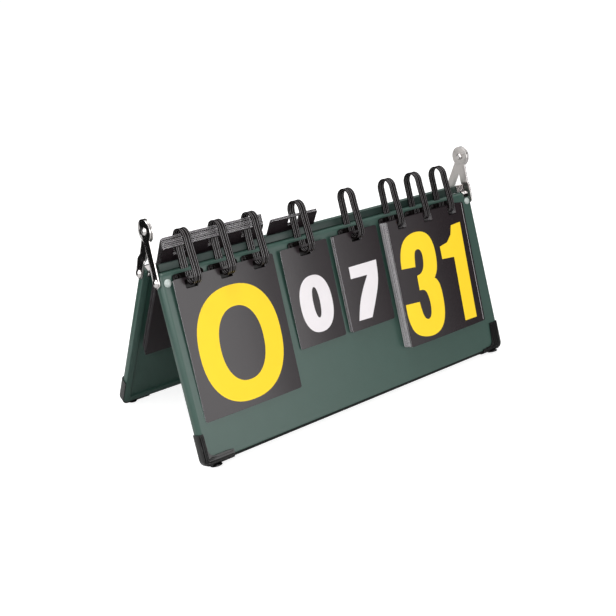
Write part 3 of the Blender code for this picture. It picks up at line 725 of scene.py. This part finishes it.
for side in ("left", "small_left"):
    group = leaf_sets[side]
    count = group["count"] - 1
    rows = [ROW - ROW * i - TOP_IN for i in range(ROWS)]
    leaf = leaf_mesh(group, FLIPPED_SHEET, *FLIPPED_HOLE, rows)
    batch_gap = count * (EVEN_PITCH - TIGHT_PITCH) / len(gaps_before[side])
    deep = -TIGHT_PITCH / 2
    places = []
    for i in range(count):
        deep += TIGHT_PITCH + (batch_gap if i in gaps_before[side] else 0.0)
        up = TOP_IN + deep / math.tan(2 * LEAN)
        across = group["centre"] + loose(FLIPPED_SLACK)
        places.append((across, up + chance.uniform(*FLIPPED_SINK), -deep, 0.0))
    stack = leaf_stack(leaf, places, side + "_flipped_sheets")
    for polygon in stack.polygons:
        polygon.use_smooth = False
        # Side and lower edges of flipped leaves lie in shade between the panels and get a dark copy
        # of the edge: painted shade.
        if polygon.material_index == EDGE and polygon.normal.y < SIDEWAYS:
            polygon.material_index = SHADED_EDGE
    for look in ("leaf_face", "flipped_edge_highlight", "painted_shade_edge"):
        stack.materials.append(finishes[look])
    made = added(side + "_flipped_sheets", stack)
    made.matrix_world = FLIPPED
    start, end = FLIPPED @ Vector((0, BEND_ZONE, 0)), FLIPPED @ Vector((0, -BEND_ZONE, 0))
    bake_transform(made)
    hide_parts(side + "_flipped_upper", side + "_flipped_lower")
    print(side, "flipped leaves:", count, "faces:", len(stack.polygons))


# %% [markdown]
# ## Numerals
# The numbers are printed on the leaves: yellow on the wide ones, white on the narrow ones. A print
# has an outline but next to no thickness, so each numeral is a filled outline a hundredth of a
# millimetre above its leaf. The zeros are drawn as one rounded oval inside another, and the others
# point by point from their leaf's top left corner, in millimetres across and down; their curves are
# then rounded by cutting corners twice.

# %% Outlines of the numerals
OVAL_STEPS = 64


def oval(left, right, top, bottom, fullness):
    """A rounded oval; a fullness of 2 is an ellipse, and more is squarer."""
    points = []
    for c, s in arc((0, 0), 1, 0, 360, OVAL_STEPS)[:-1]:
        x = math.copysign(abs(c) ** (2 / fullness), c)
        y = math.copysign(abs(s) ** (2 / fullness), s)
        points.append(((left + right) / 2 + (right - left) / 2 * x,
                       (top + bottom) / 2 + (bottom - top) / 2 * y))
    return points


def rounded_run(points, times=2):
    """An open run of points with its corners cut, its two ends kept."""
    for _ in range(times):
        cut = [points[0]]
        for (ax, ay), (bx, by) in zip(points, points[1:]):
            cut.append((0.75 * ax + 0.25 * bx, 0.75 * ay + 0.25 * by))
            cut.append((0.25 * ax + 0.75 * bx, 0.25 * ay + 0.75 * by))
        points = cut + [points[-1]]
    return points


three_top = [(6.6, 48.8), (7.4, 40.4), (10, 30.4), (15, 22.4), (23, 17.8), (32, 16.4), (41, 17.6),
             (48, 21.4), (52.4, 28.4), (54.4, 38.4), (54, 50.4), (52, 59.4), (48, 65.4),
             (46.6, 66.4)]
three_bottom = [(46.6, 66.4), (50, 69.4), (52.6, 76.4), (53.2, 88.4), (52, 102.4), (48, 113.4),
                (41, 120), (32, 122.4), (22, 121.4), (13, 118), (7, 112.4), (4, 104.4), (2.6, 94.4),
                (3, 84)]
three_inner_low = [(21, 85.2), (21.6, 92.4), (23, 100.4), (26, 104.4), (30, 104.8), (33, 101.4),
                   (34.6, 94.4), (34.6, 86.4), (33, 78.4), (30, 74.8), (24, 74)]
three_inner_top = [(24.4, 59.4), (30, 58.4), (34, 54.4), (36, 48.4), (36.6, 40.4), (35, 35.4),
                   (32, 33.6), (28, 34.4), (26, 39.4), (24.4, 50.4)]
three = (rounded_run(three_top) + rounded_run(three_bottom)[1:] + rounded_run(three_inner_low) +
         rounded_run(three_inner_top))
one = [(62, 38), (73, 36), (80, 29.4), (83, 20.4), (97, 19.4), (95, 120), (77.6, 119.6),
       (79, 52.4), (62, 51)]
seven = ([(10.5, 32.3), (45.5, 32.5)] +
         rounded_run([(45.5, 32.5), (44, 49.3), (39.5, 61.8), (26.5, 85.5)]) + [(10, 85)] +
         rounded_run([(10, 85), (14.5, 70), (22, 56), (30.8, 44.3)]) + [(10.3, 43.8)])
big_zero = [oval(8.75, 95.25, 16.75, 120.75, 2.3), oval(29.75, 75.5, 35.75, 102.75, 2.2)]
small_zero = [oval(9.25, 46.5, 29.5, 83.5, 2.3), oval(24, 31.75, 40.75, 70, 2.2)]
print("points in the three:", len(three))

# %% Print them on the front leaves
PRINT_THICK, MILLIMETRE = 0.00001, 1000


def print_on(node, figures, label):
    """Filled outlines just above a hanging leaf; figures is a list of outlines with their holes."""
    group = leaf_sets[hung[node][0]]
    paint = "yellow_print" if group["across"] == WIDE else "white_print"
    across, up, out, turn = front_place[node]
    parts = []
    for loops in figures:
        scaled = [[(x / MILLIMETRE - group["across"] / 2, -y / MILLIMETRE) for x, y in loop]
                  for loop in loops]
        parts.append((flat_piece(scaled, PRINT_THICK, 0.0, "print"), Matrix()))
    ink = smoothed(bowed(merged(parts, label), group))
    above = moved(across, up, out + LEAF_SHEET / 2 + PRINT_THICK)
    piece(label, ink, [paint], node, HUNG @ above @ Matrix.Rotation(turn, 4, "Z"))


print_on("left_front_leaf", [big_zero], "wide_zero_print")
print_on("small_left_front_leaf", [small_zero], "narrow_zero_print")
print_on("small_right_front_leaf", [[seven]], "narrow_seven_print")
print_on("right_front_leaf", [[three], [one]], "wide_thirty_one_print")

# %% [markdown]
# The leaf below the top one shows when the top one is flipped, so it has its number too: thirty
# below thirty-one and six below seven.

# %% Numbers on the leaves below
slim_zero = [oval(60.5, 99, 18, 121, 2.4), oval(75.5, 84, 36, 103, 2.2)]
six_outer = [(44.5, 47), (43, 37), (37, 31), (28, 29.5), (19, 31.5), (12.5, 39), (10, 50),
             (9.5, 60), (11, 73), (17, 81), (28, 84.5), (38, 82), (44.5, 75), (46, 66), (44, 57.5),
             (38, 51.5), (31, 50), (24.5, 52.5), (24.3, 47), (25.5, 42), (28, 40.5), (30.5, 42),
             (31.5, 47)]
six = [rounded_run(six_outer), oval(24, 32.5, 59, 74.5, 2.2)]
print_on("right_leaves", [[three], slim_zero], "wide_thirty_print")
print_on("small_right_leaves", [six], "narrow_six_print")

# %% [markdown]
# ## Hinge arms
# At each end two keyhole-shaped steel plates join the panels. Each plate turns on a screw in its
# panel's end, and a rivet joins their round heads. One plate is straight, and the other steps
# inwards so that its head lies behind the first one's. The outline is a round head on a straight
# leg, the edges are slightly rounded as on a stamped and plated part, and the step is a smooth
# shift of the points. The outer side is polished, and the inner side keeps a satin look.

# %% One arm plate
ARM_LENGTH, ARM_HEAD, ARM_LEG, ARM_THICK, ARM_SOFT = 0.045, 0.0103, 0.010, 0.0015, 0.00025
SCREW_HOLE, RIVET_HOLE, FACING_IN = 0.0021, 0.0023, -0.6
STEP_FROM, STEP_TO, STEP_ROWS = 0.29 * ARM_LENGTH, 0.40 * ARM_LENGTH, 8
STEP_IN = ARM_THICK + GAP * 4 / 3


def arm_plate(steps):
    """A plate with its screw hole at the origin and its head up along Y."""
    half = ARM_LEG / 2
    neck = math.degrees(math.asin(half / ARM_HEAD))
    outline = arc((0.0, 0.0), half, 180, 360, 20)
    outline += arc((0.0, ARM_LENGTH), ARM_HEAD, neck - 90, 270 - neck, 48)
    holes = [arc((0, 0), SCREW_HOLE, 0, 345, 23), arc((0, ARM_LENGTH), RIVET_HOLE, 0, 345, 23)]
    mesh = flat_piece([outline] + holes, ARM_THICK, ARM_SOFT, "arm_plate")
    if steps:
        shape = opened(mesh)
        for i in range(STEP_ROWS + 1):
            slit(shape, (0, STEP_FROM + (STEP_TO - STEP_FROM) * i / STEP_ROWS, 0), (0, 1, 0))
        for vertex in shape.verts:
            share = min(max((vertex.co.y - STEP_FROM) / (STEP_TO - STEP_FROM), 0.0), 1.0)
            vertex.co.z -= STEP_IN * eased(share)
        bmesh.ops.triangulate(shape, faces=shape.faces)
        closed(shape, mesh)
    for polygon in mesh.polygons:
        polygon.material_index = int(polygon.normal.z < FACING_IN)
    return smoothed(mesh, 30)


# %% The four arms
ARM_DOWN = 0.0079
OUTER_PLANE = WIDTH / 2 + GAP + ARM_THICK / 2
screw_at = FRONT @ Vector((0, HEIGHT - ARM_DOWN, -THICK / 2))
rivet_up = screw_at.z + math.sqrt(ARM_LENGTH ** 2 - screw_at.y ** 2)
arm_turn = math.atan2(-screw_at.y, rivet_up - screw_at.z)


def end_frame(way, lean, origin):
    """A frame on an end of the board: Z points out of the end, and Y leans back by the angle."""
    up, out = Vector((0, math.sin(lean), math.cos(lean))), Vector((way, 0, 0))
    return frame_of(up.cross(out), up, out, origin)


straight, stepped = arm_plate(False), arm_plate(True)
for end, _, back, side, way in CORNERS:
    node = "%s_arm_%s" % (end, side)
    plate = (stepped if way == back else straight).copy()
    origin = (way * OUTER_PLANE, back * screw_at.y, screw_at.z)
    plate.transform(end_frame(way, back * arm_turn, origin))
    piece(node + "_plate", plate, ["plated_steel", "satin_steel"], end + "_arms", None, [node])

# %% [markdown]
# ## Screws and rivets of the arms
# The arm screws have a low domed head with a cross recess. The pivot rivets have one domed head
# outside and a smaller one, set over a washer, inside.

# %% Arm screws
OUTSIDE = OUTER_PLANE + ARM_THICK / 2
CROSS_LONG, CROSS_NARROW, CROSS_FLOOR, CROSS_TOP = 0.0016, 0.0003, 0.0012, 0.003
arm_head = turned([(0.0001, 0.0022), (0.0012, 0.00212), (0.0022, 0.0018), (0.0030, 0.0013),
                   (0.0036, 0.0006), (0.0038, 0.0002), (0.0038, 0.0), (0.0018, 0.0),
                   (0.0018, -0.012), (0.0001, -0.012)], "arm_screw_head")
recess = merged([(block((-a, -b, CROSS_FLOOR), (a, b, CROSS_TOP)), Matrix())
                 for a, b in ((CROSS_LONG, CROSS_NARROW), (CROSS_NARROW, CROSS_LONG))], "recess")
arm_head = smoothed(cut_away(arm_head, recess), 30)
for end, _, back, side, way in CORNERS:
    node = "%s_arm_screw_%s" % (end, side)
    place = end_frame(way, back * LEAN, (way * OUTSIDE, back * screw_at.y, screw_at.z))
    piece(node + "_head", arm_head, ["plated_steel"], end + "_stand", place, [node])

# %% Pivot rivets
under = -2 * ARM_THICK - GAP * 10 / 3
pivot_head = turned([(0.0001, 0.0019), (0.0010, 0.00182), (0.0019, 0.0015), (0.0027, 0.0010),
                     (0.0033, 0.0004), (0.0035, 0.0), (0.0020, 0.0), (0.0020, under),
                     (0.0033, under), (0.0030, under - 0.0008), (0.0022, under - 0.0013),
                     (0.0001, under - 0.0013)], "pivot_rivet_head")
for side, way in SIDES:
    place = end_frame(way, 0.0, (way * OUTSIDE, 0, rivet_up))
    piece("pivot_head_" + side, pivot_head, ["plated_steel"], "front_arms", place,
          ["pivot_rivet_" + side])

# %% [markdown]
# ## Corner clips
# The two arms that step inwards start beside a small plated clip, folded over the panel's top edge
# and held by two tiny screws: one at the front right corner and one at the rear left. Each is a
# strip that follows the panel's rounded edge, a few tenths of a millimetre off.

# %% Corner clips
CLIP_OFF, CLIP_THICK, CLIP_HALF, CLIP_DROP, CLIP_IN = 0.0004, 0.0006, 0.0037, 0.0056, 0.0072
CLIP_FAR, CLIP_DOWN, HEAD_OUT, HEAD_DOWN = -0.0030, 0.0060, 0.0019, 0.0036
clip_screw = turned([(0.0001, 0.0007), (0.0006, 0.00065), (0.0010, 0.0004), (0.0012, 0.0),
                     (0.0001, -0.0003)], "clip_head", 20)


def clip_mesh(height, far, down, head):
    """A strip bent over a panel's top edge, in the (x, h, d) frame, with two screw heads on it."""
    def wrapped(off):
        """The path round the edge, so far off the panel."""
        back = far - (off - CLIP_OFF) if down else far
        path = [(off, height - CLIP_DROP)]
        path += arc((-FACE_ROUND, height - FACE_ROUND), FACE_ROUND + off, 0, 90, 8)
        return path + [(back, height + off)] + ([(back, height - down)] if down else [])

    outline = wrapped(CLIP_OFF + CLIP_THICK) + wrapped(CLIP_OFF)[::-1]
    rings = [[(x, h, d) for d, h in outline] for x in (-CLIP_HALF, CLIP_HALF)]
    parts = [(lofted(rings, "clip"), Matrix())]
    d, h, tilt = head
    for x in (-HEAD_OUT, HEAD_OUT):
        parts.append((clip_screw, moved(x, h, d) @ Matrix.Rotation(math.radians(tilt), 4, "X")))
    return smoothed(merged(parts, "corner_clip"), 40)


CLIP_TOP = CLIP_OFF + CLIP_THICK
rear_top = HEIGHT - REAR_SHORT
slope = (FACE_ROUND + CLIP_TOP) * math.sin(math.radians(45)) - FACE_ROUND
on_edge = (slope, HEIGHT + slope, -45)
on_back = (-THICK - CLIP_TOP, rear_top - HEAD_DOWN, 180)
beside = moved(WIDTH / 2 - CLIP_IN, 0, 0)
piece("corner_clip_front_right", clip_mesh(HEIGHT, CLIP_FAR, 0.0, on_edge),
      ["plated_steel"], "front_stand", FRONT @ beside)
piece("corner_clip_rear_left", clip_mesh(rear_top, -THICK - CLIP_OFF, CLIP_DOWN, on_back),
      ["plated_steel"], "rear_stand", REAR @ beside)

# %% [markdown]
# ## Rail cap
# The ring rail's right end, beside the arm, is closed by a plated cap with upright ridges. It is a
# U-shaped outline round the rail, pulled along the width with a thickness that steps up and down.

# %% Rail cap
CAP_IN, CAP_OFF, CAP_SOFT, CAP_LOW = 0.0160, 0.0002, 0.0003, 0.0013
RIDGE_PITCH, RIDGE_COUNT = 0.0020, 6
# One ridge and the groove after it: how far along, and how thick.
RIDGE = ((0.0, 0.0008), (0.0011, 0.0008), (0.0013, 0.0003), (0.0018, 0.0003))


def cap_ring(x, thick):
    """A U round the rail's front, top and back, at one place along the width."""
    low, top = HEIGHT + CAP_LOW, HEIGHT + RAIL_RISE + CAP_OFF
    near, far = RAIL_FRONT + CAP_OFF, -THICK - CAP_OFF
    inner = [(near, low), (near, top), (far, top), (far, low)]
    a, b, c = near + thick, far - thick, top + thick
    outer = [(a, low), (a, c - CAP_SOFT), (a - CAP_SOFT, c), (b + CAP_SOFT, c),
             (b, c - CAP_SOFT), (b, low)]
    return [(x, h, d) for d, h in outer + inner[::-1]]


cap_rings = [cap_ring(WIDTH / 2 - CAP_IN + i * RIDGE_PITCH + along, thick)
             for i in range(RIDGE_COUNT) for along, thick in RIDGE]
cap = smoothed(lofted(cap_rings, "rail_cap"), 30)
piece("rail_cap", cap, ["plated_steel"], "front_stand", FRONT)

# %% [markdown]
# ## Corner protectors and feet
# Each lower corner wears an L-shaped cap of glossy black plastic with ridges that follow the L. On
# a panel's left the upright leg is narrow and the bottom leg is broad, and on its right it is the
# other way round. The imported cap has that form, so its mesh is copied and narrow grooves are cut
# along it. A groove is an L-shaped strip less a slightly grown slab, so it is equally deep all
# round the rounded edge. The feet are thin pads that stand on their back edges.

# %% Grooves for the protectors
GUARD_UP, GUARD_ALONG = 0.0300, 0.0304
GROOVE, GROOVE_STOP, GROOVE_DEEP = 0.0006, 0.0016, (-0.012, 0.004)
grown = lofted([slab_ring(-0.0004, -THICK - 0.003)] + face_rings(0.0007), "grown_slab")


def groove_strip(side, low):
    """An L-shaped strip through the cap, so far in from its outer edge and from its lower edge."""
    near, far = side - WIDTH / 2 - GUARD, side + GROOVE - WIDTH / 2 - GUARD
    under, over = low - GUARD, low + GROOVE - GUARD
    top, end = GUARD_UP - GUARD - GROOVE_STOP, GUARD_ALONG - WIDTH / 2 - GUARD - GROOVE_STOP
    points = [(near, under), (end, under), (end, over), (far, over), (far, top), (near, top)]
    return lofted([[(x, h, d) for x, h in points] for d in GROOVE_DEEP], "groove")


def grooves(offsets, mirror):
    """All the grooves of a cap on a panel's left, or mirrored for its right."""
    strips = merged([(groove_strip(*each), Matrix()) for each in offsets], "strips")
    return merged([(cut_away(strips, grown), Matrix.Scale(mirror, 4, (1, 0, 0)))], "grooves")


groove_tools = {
    -1: grooves([(0.0011, 0.0018), (0.0025, 0.0042), (0.0039, 0.0066)], 1),
    1: grooves([(0.0016, 0.0010), (0.0044, 0.0022), (0.0072, 0.0034), (0.0100, 0.0046),
                (0.0124, 0.0056)], -1)}
print("groove cutters' faces:", [len(tool.polygons) for tool in groove_tools.values()])

# %% Ridged protectors
for end, panel, back, side, way in CORNERS:
    node = "protector_%s_%s" % (end, side)
    own = frame["nodes"][node].data.copy()
    own.name = node + "_ridged"
    own.transform(panel.inverted())
    shape = opened(own)
    bmesh.ops.remove_doubles(shape, verts=shape.verts, dist=1e-6)
    ridged = cut_away(closed(shape, own), groove_tools[way * back])
    ridged.materials.clear()
    ridged = weighted(smoothed(ridged, 30))
    piece(node + "_ridged", ridged, ["guard_plastic"], end + "_stand", panel, [node])


# %% Feet
FOOT_IN, FOOT_SOFT = 0.012, 0.0003
LAID = Matrix(((1, 0, 0, 0), (0, 0, 1, 0), (0, -1, 0, -THICK / 2), (0, 0, 0, 1)))


def foot_mesh(panel):
    """A thin round pad square to the panel, cut where it meets the table, in the world's frame."""
    top, low = -GUARD - GAP, -GUARD - GAP - FOOT_THICK
    soft_radius = FOOT_RADIUS - FOOT_SOFT
    pad = turned([(0.0001, low), (soft_radius, low), (FOOT_RADIUS, low + FOOT_SOFT),
                  (FOOT_RADIUS, top - FOOT_SOFT), (soft_radius, top), (0.0001, top)], "foot")
    pad.transform(LAID)
    pad.transform(panel)
    shape = opened(pad)
    slit(shape, (0, 0, 0), (0, 0, -1), clear_outer=True)
    rim = [each for each in shape.edges if all(abs(v.co.z) < 1e-7 for v in each.verts)]
    bmesh.ops.contextual_create(shape, geom=rim)
    return smoothed(mesh_of(shape, "foot"), 40)


for end, panel, _, side, way in CORNERS:
    node = "foot_%s_%s" % (end, side)
    piece(node + "_pad", foot_mesh(panel), ["guard_plastic"], end + "_stand",
          moved(way * (WIDTH / 2 - FOOT_IN), 0, 0), [node])

# %% [markdown]
# ## Table, light and camera
# The board stands on a plain pale table, and everything round it is white. The table also glows,
# for the camera alone, so that only the shadow at the feet stays. Four soft lamps light the board:
# a broad one in front, one above, and a key and a fill from the left, where the photograph's light
# comes from. The background is at full strength for the camera and in reflections, and weaker as
# light, so that it doesn't wash the object out.

# %% Table
def stage_sheet(name, corners, grey, shown=True):
    """A dull flat sheet that belongs to the stage and not to the scoreboard."""
    mesh = bpy.data.meshes.new(name)
    mesh.from_pydata(corners, [], [tuple(range(len(corners)))])
    sheet = added(name, mesh)
    paint = bpy.data.materials.new(name)
    shader = tree_of(paint)[0]["Principled BSDF"]
    shader.inputs["Base Color"].default_value = (grey, grey, grey, 1.0)
    shader.inputs["Roughness"].default_value = 0.9
    shader.inputs["Specular IOR Level"].default_value = 0.1
    mesh.materials.append(paint)
    sheet.visible_camera = shown
    return sheet


FAR, TABLE_GREY, TABLE_GLOW = 6, 0.58, 0.76
corners = [(-FAR, -FAR, 0), (FAR, -FAR, 0), (FAR, FAR, 0), (-FAR, FAR, 0)]
nodes, links = tree_of(stage_sheet("table_top", corners, TABLE_GREY).active_material)
lift = nodes.new("ShaderNodeMath")
lift.operation = "MULTIPLY"
lift.inputs[1].default_value = TABLE_GLOW
links.new(nodes.new("ShaderNodeLightPath").outputs["Is Camera Ray"], lift.inputs[0])
shader = nodes["Principled BSDF"]
shader.inputs["Emission Color"].default_value = (1, 1, 1, 1)
links.new(lift.outputs["Value"], shader.inputs["Emission Strength"])
print("table:", 2 * FAR, "m wide")

# %% Background
WORLD_LIGHT = 0.44
world = bpy.data.worlds.new("studio")
bpy.context.scene.world = world
nodes, links = tree_of(world)
sky = nodes["Background"]
sky.inputs["Color"].default_value = (1, 1, 1, 1)
rays = nodes.new("ShaderNodeLightPath")
seen = rays.outputs["Is Camera Ray"]
for kind in ("Is Glossy Ray", "Is Transmission Ray"):
    either = nodes.new("ShaderNodeMath")
    either.operation = "MAXIMUM"
    links.new(seen, either.inputs[0])
    links.new(rays.outputs[kind], either.inputs[1])
    seen = either.outputs["Value"]
level = nodes.new("ShaderNodeMapRange")
level.inputs["To Min"].default_value = WORLD_LIGHT
level.inputs["To Max"].default_value = 1.0
links.new(seen, level.inputs["Value"])
links.new(level.outputs["Result"], sky.inputs["Strength"])
print("background as light:", WORLD_LIGHT)

# %% Lamps
# A row is: name, place, height of the point on the Z axis that it faces, size and power in watts.
LAMPS = (("front_softbox", (0.35, -1.45, 0.45), 0.1, 0.9, 7),
         ("left_key", (-1.1, -1.0, 0.8), 0.1, 0.5, 8),
         ("top_softbox", (-0.2, 0.2, 1.6), 0.0, 0.8, 13),
         ("left_fill", (-1.7, 0.2, 0.7), 0.1, 1.0, 13))
for name, place, aim, size, power in LAMPS:
    light = bpy.data.lights.new(name, "AREA")
    light.shape = "RECTANGLE"
    light.size = light.size_y = size
    light.energy = power
    made = added(name, light)
    made.location = place
    towards = Vector((0, 0, aim)) - Vector(place)
    made.rotation_euler = towards.to_track_quat("-Z", "Y").to_euler()
    print(name, power, "W")

# %% [markdown]
# Polished plates and glossy plastic show what stands round them. A studio has dark cards there,
# and these only darken a reflection: they cast no shadow and the camera doesn't see them. The one
# at the right makes the sheen of the leaves and the green face fall off there.

# %% Dark cards
# A row is: name, where its lower edge starts and ends, and its height.
CARDS = (("card_right", (2.75, -2.95), (3.6, 0.8), 2.6),
         ("card_left_back", (-0.8, 0.20), (-0.24, 0.20), 0.4),
         ("card_back", (-0.6, 1.4), (1.6, 1.0), 1.3))
CARD_GREY = 0.004
for name, (ax, ay), (bx, by), top in CARDS:
    corners = [(ax, ay, 0.0), (bx, by, 0.0), (bx, by, top), (ax, ay, top)]
    card = stage_sheet(name, corners, CARD_GREY, shown=False)
    card.visible_diffuse = card.visible_shadow = card.visible_transmission = False
    print(name, "is", top, "m high")

# %% [markdown]
# The camera stands where the photograph's did. Its place, its turn and its lens were fitted to the
# edges of the panels and leaves in the photograph.

# %% Camera
camera_data = bpy.data.cameras.new("camera")
camera_data.lens = 56.37
camera_data.sensor_width = 36.0
camera = added("camera", camera_data)
camera.location = (-0.5587, -0.6812, 0.46853)
camera.rotation_euler = (math.radians(65.97), 0.0, math.radians(-38.52))
bpy.context.scene.camera = camera
bpy.context.scene.view_settings.view_transform = "Standard"
print("camera's lens: %.1f mm" % camera_data.lens)
